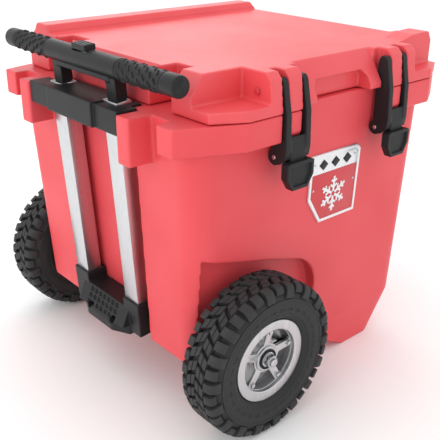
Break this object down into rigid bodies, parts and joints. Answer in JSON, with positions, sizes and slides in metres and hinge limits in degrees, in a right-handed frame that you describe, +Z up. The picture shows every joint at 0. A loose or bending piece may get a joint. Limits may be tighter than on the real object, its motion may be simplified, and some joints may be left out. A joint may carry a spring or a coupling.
{
  "type": "cooler on wheels",
  "caption": "Hard-sided insulated cooler with a hinged lid, side latches, air-filled wheels and a telescoping pull handle.",
  "frame": {"origin": "middle of the whole object's footprint, on the ground", "axes": "+X along the tub towards the foot end, -X towards the pull handle and wheels, -Y towards the latches, +Y towards the lid hinge, +Z up"},
  "size_m": [0.505, 0.54, 0.514],
  "materials": {
    "red_shell": "satin rotomoulded polyethylene",
    "red_lid": "satin rotomoulded polyethylene",
    "red_small": "satin",
    "foam": "rigid polyurethane foam",
    "black_plastic": "satin glass-filled nylon",
    "grip_rubber": "matte",
    "seal_rubber": "matte",
    "tyre_rubber": "matte",
    "satin_aluminium": "satin anodised",
    "silver_rim": "satin painted",
    "bright_steel": "satin",
    "dark_screws": "black oxide",
    "badge_metal": "satin"
  },
  "bodies": {
    "tub": {"tub_shell": "red_shell", "tub_foam": "foam", "tub_fill_plugs": "red_small", "drain_fitting": "black_plastic", "drain_seal": "seal_rubber", "drain_nut": "black_plastic", "hinge_rod": "bright_steel", "latch_pin_left": "bright_steel", "latch_pin_right": "bright_steel", "badge_plate": "badge_metal", "badge_rivets": "bright_steel", "handle_bracket": "black_plastic", "bracket_screws": "dark_screws", "foot_step": "black_plastic", "step_screws": "dark_screws", "outer_tube_left": "satin_aluminium", "outer_tube_right": "satin_aluminium", "axle": "bright_steel", "axle_straps": "bright_steel", "strap_screws": "dark_screws", "axle_washers": "bright_steel", "axle_nuts": "bright_steel"},
    "drain_cap": {"drain_plug": "black_plastic", "drain_plug_ring": "seal_rubber"},
    "lid": {"lid_shell": "red_lid", "lid_foam": "foam", "lid_fill_plug": "red_small", "lid_gasket": "seal_rubber", "lid_studs": "red_small"},
    "latch_left": {"latch_frame_left": "black_plastic", "latch_pull_left": "black_plastic"},
    "latch_right": {"latch_frame_right": "black_plastic", "latch_pull_right": "black_plastic"},
    "handle_middle": {"middle_tube_left": "satin_aluminium", "middle_tube_right": "satin_aluminium", "middle_glides": "black_plastic"},
    "handle_top": {"inner_tube_left": "satin_aluminium", "inner_tube_right": "satin_aluminium", "inner_glides": "black_plastic", "handle_yoke": "black_plastic", "grip_core": "satin_aluminium", "grip_left": "grip_rubber", "grip_right": "grip_rubber", "grip_caps": "black_plastic", "release_rods": "bright_steel", "button_spring": "bright_steel"},
    "button": {"release_button": "black_plastic"},
    "wheel_left": {"tyre_left": "tyre_rubber", "air_tube_left": "seal_rubber", "rim_left": "silver_rim", "rim_bolts_left": "bright_steel", "bearings_left": "bright_steel", "hub_spacer_left": "bright_steel"},
    "wheel_right": {"tyre_right": "tyre_rubber", "air_tube_right": "seal_rubber", "rim_right": "silver_rim", "rim_bolts_right": "bright_steel", "bearings_right": "bright_steel", "hub_spacer_right": "bright_steel"}
  },
  "joints": [
    {"name": "lid_hinge", "type": "hinge", "parent": "tub", "child": "lid", "pos_m": [0.0285, 0.228, 0.447], "axis": [-1, 0, 0], "range_deg": [0, 95]},
    {"name": "left_latch", "type": "hinge", "parent": "tub", "child": "latch_left", "pos_m": [-0.0725, -0.2255, 0.389], "axis": [1, 0, 0], "range_deg": [0, 34]},
    {"name": "right_latch", "type": "hinge", "parent": "tub", "child": "latch_right", "pos_m": [0.1295, -0.2255, 0.389], "axis": [1, 0, 0], "range_deg": [0, 34]},
    {"name": "handle_first_stage", "type": "slide", "parent": "tub", "child": "handle_middle", "axis": [-0.0663, 0, 0.9978], "range_m": [0, 0.25]},
    {"name": "handle_second_stage", "type": "slide", "parent": "handle_middle", "child": "handle_top", "axis": [-0.0663, 0, 0.9978], "range_m": [0, 0.25]},
    {"name": "button_press", "type": "slide", "parent": "handle_top", "child": "button", "axis": [0.0663, 0, -0.9978], "range_m": [0, 0.004], "stiffness_N_per_m": 600, "springref_m": -0.001, "deforming": ["button_spring"]},
    {"name": "left_wheel", "type": "hinge", "parent": "tub", "child": "wheel_left", "pos_m": [-0.1215, 0, 0.114], "axis": [0, 1, 0], "continuous": true},
    {"name": "right_wheel", "type": "hinge", "parent": "tub", "child": "wheel_right", "pos_m": [-0.1215, 0, 0.114], "axis": [0, 1, 0], "continuous": true},
    {"name": "drain_turn", "type": "hinge", "parent": "tub", "child": "drain_cap", "pos_m": [0.2435, 0, 0.076], "axis": [1, 0, 0], "range_deg": [0, 360]}
  ],
  "couplings": [
    {"joint": "handle_second_stage", "follows": "handle_first_stage", "ratio": 1}
  ]
}
